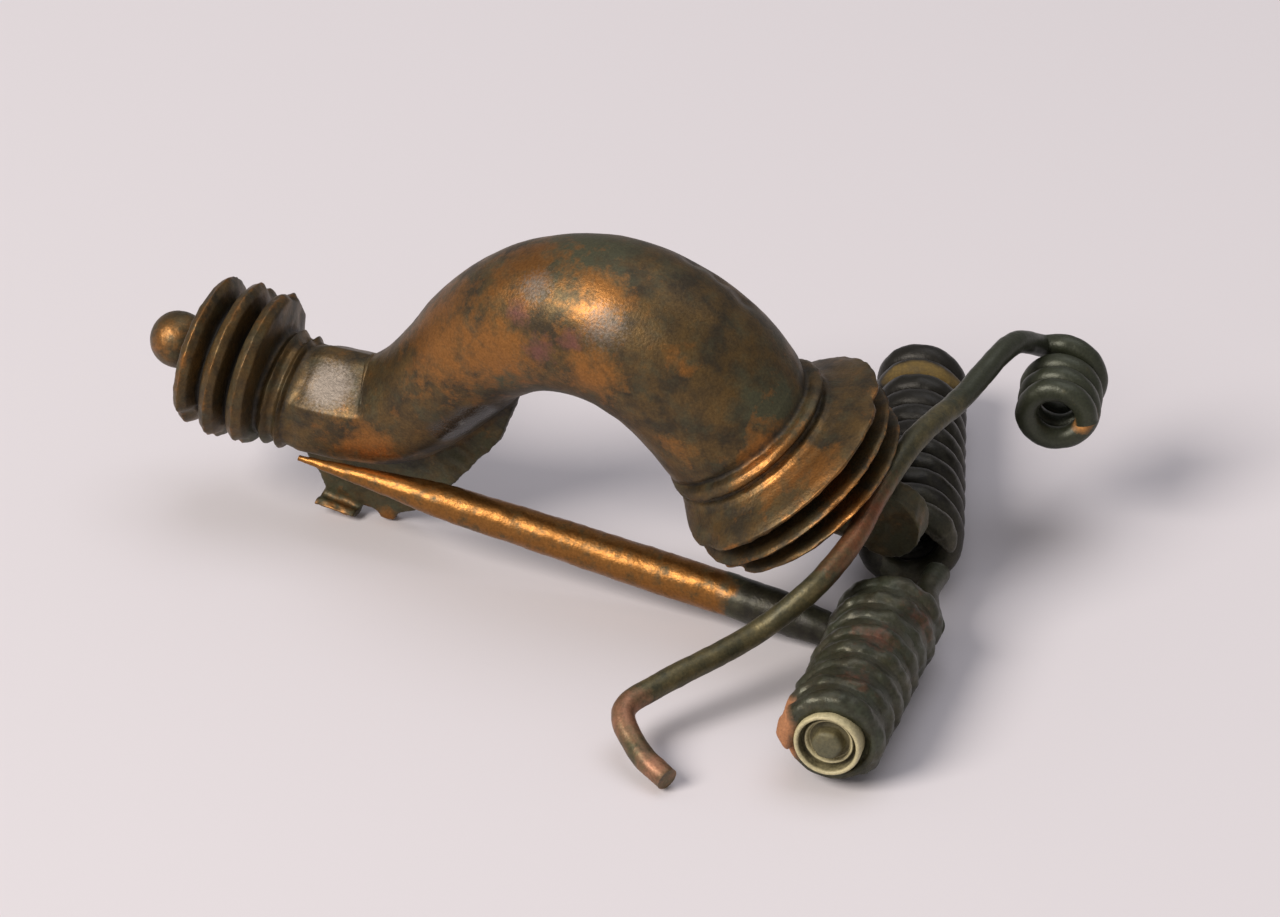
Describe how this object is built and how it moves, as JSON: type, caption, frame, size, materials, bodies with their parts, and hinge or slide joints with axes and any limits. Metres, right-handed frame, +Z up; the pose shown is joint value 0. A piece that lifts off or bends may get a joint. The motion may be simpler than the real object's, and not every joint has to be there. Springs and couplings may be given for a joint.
{
  "type": "fibula brooch",
  "caption": "Ancient bronze bow brooch with moulded head and foot, long two-sided coiled spring, straight pin and a loose bent wire through its head.",
  "frame": {"origin": "middle of the underside of the whole brooch's bounding box, on the surface that it lies on", "axes": "+X from the foot's knob to the spring, +Y from the pin's side to the far side along the spring, +Z up"},
  "size_m": [0.0516, 0.0442, 0.0211],
  "materials": {
    "bow_bronze": "brown patinated bronze, golden where worn",
    "spring_bronze": "dark green-black patinated bronze, golden on the pin",
    "rod_iron": "corroded grey iron with a cream crust",
    "wire_bronze": "olive-brown patinated bronze"
  },
  "bodies": {
    "root": {"bow": "bow_bronze", "spring_and_pin": "spring_bronze", "axis_rod": "rod_iron", "loose_wire": "wire_bronze"}
  },
  "joints": []
}
